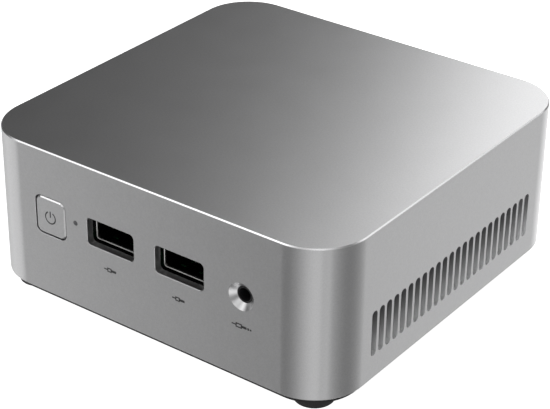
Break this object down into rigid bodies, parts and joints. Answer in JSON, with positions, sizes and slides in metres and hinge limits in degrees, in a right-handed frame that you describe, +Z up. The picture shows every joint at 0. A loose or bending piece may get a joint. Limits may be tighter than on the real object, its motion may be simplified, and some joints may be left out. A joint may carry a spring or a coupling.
{
  "type": "mini pc",
  "caption": "Small square desktop computer in an aluminium shell with rounded corners, a front power button and ports, slotted side vents, rear sockets and a blower inside.",
  "frame": {"origin": "middle of the plan, on the table under the feet", "axes": "+Z up, -Y out of the front with the button and ports, +X to the right of someone facing the front"},
  "size_m": [0.112, 0.111, 0.0465],
  "materials": {
    "shell_aluminium": "bead-blasted, clear anodised, with a bright cut chamfer round the roof",
    "cover_plastic": "fine moulded texture",
    "foot_rubber": "matt",
    "screw_steel": "black zinc",
    "plain_steel": "nickel plated",
    "thread_brass": "machined",
    "button_aluminium": "bead-blasted, clear anodised",
    "black_plastic": "moulded",
    "clear_plastic": "clear moulded",
    "led_white": "moulded lens",
    "contact_gold": "gold flash",
    "board_green": "solder mask",
    "chip_black": "moulded epoxy",
    "copper": "bare copper",
    "paste_grey": "thermal paste",
    "fin_aluminium": "stamped",
    "magnet_grey": "bonded ferrite",
    "blue_plastic": "moulded",
    "cell_steel": "plated can"
  },
  "bodies": {
    "case": {"housing": "shell_aluminium", "bottom_cover": "cover_plastic", "foot_front_left": "foot_rubber", "foot_front_right": "foot_rubber", "foot_rear_left": "foot_rubber", "foot_rear_right": "foot_rubber", "cover_screws": "screw_steel", "standoffs": "thread_brass", "bracket_inserts": "thread_brass", "mainboard": "board_green", "button_guide": "black_plastic", "power_switch": "black_plastic", "light_pipe": "clear_plastic", "status_led": "led_white", "usb_left_shell": "plain_steel", "usb_left_insulator": "black_plastic", "usb_left_contacts": "contact_gold", "usb_right_shell": "plain_steel", "usb_right_insulator": "black_plastic", "usb_right_contacts": "contact_gold", "audio_jack": "black_plastic", "audio_contacts": "contact_gold", "cpu_package": "chip_black", "thermal_paste": "paste_grey", "cold_plate": "copper", "cold_plate_screws": "plain_steel", "heat_pipes": "copper", "fin_stack": "fin_aluminium", "blower_case": "black_plastic", "blower_lid": "plain_steel", "blower_bearing": "thread_brass", "blower_stator": "copper", "blower_pillars": "thread_brass", "blower_screws": "plain_steel", "blower_lead": "black_plastic", "blower_header": "black_plastic", "memory_sockets": "black_plastic", "memory_module_front": "board_green", "memory_module_rear": "board_green", "card_sockets": "black_plastic", "ssd_module": "board_green", "wifi_card": "board_green", "card_nuts": "thread_brass", "card_screws": "plain_steel", "coin_cell": "cell_steel", "coin_cell_holder": "black_plastic", "dc_jack": "black_plastic", "dc_jack_pin": "plain_steel", "hdmi_shells": "plain_steel", "hdmi_tongues": "black_plastic", "lan_jack": "black_plastic", "lan_contacts": "contact_gold", "rear_usb_shell": "plain_steel", "rear_usb_insulators": "blue_plastic"},
    "power_button": {"power_button": "button_aluminium"},
    "switch_plunger": {"switch_plunger": "black_plastic"},
    "blower_rotor": {"blower_rotor": "black_plastic", "blower_magnet": "magnet_grey"}
  },
  "joints": [
    {"name": "button_press", "type": "slide", "parent": "case", "child": "power_button", "axis": [0, 1, 0], "range_m": [0, 0.0004], "stiffness_N_per_m": 3000},
    {"name": "plunger_press", "type": "slide", "parent": "case", "child": "switch_plunger", "axis": [0, 1, 0], "range_m": [0, 0.0004]},
    {"name": "blower_spin", "type": "hinge", "parent": "case", "child": "blower_rotor", "pos_m": [-0.01, 0.002, 0.0344], "axis": [0, 0, 1], "continuous": true}
  ],
  "couplings": [
    {"joint": "plunger_press", "follows": "button_press", "ratio": 1}
  ]
}
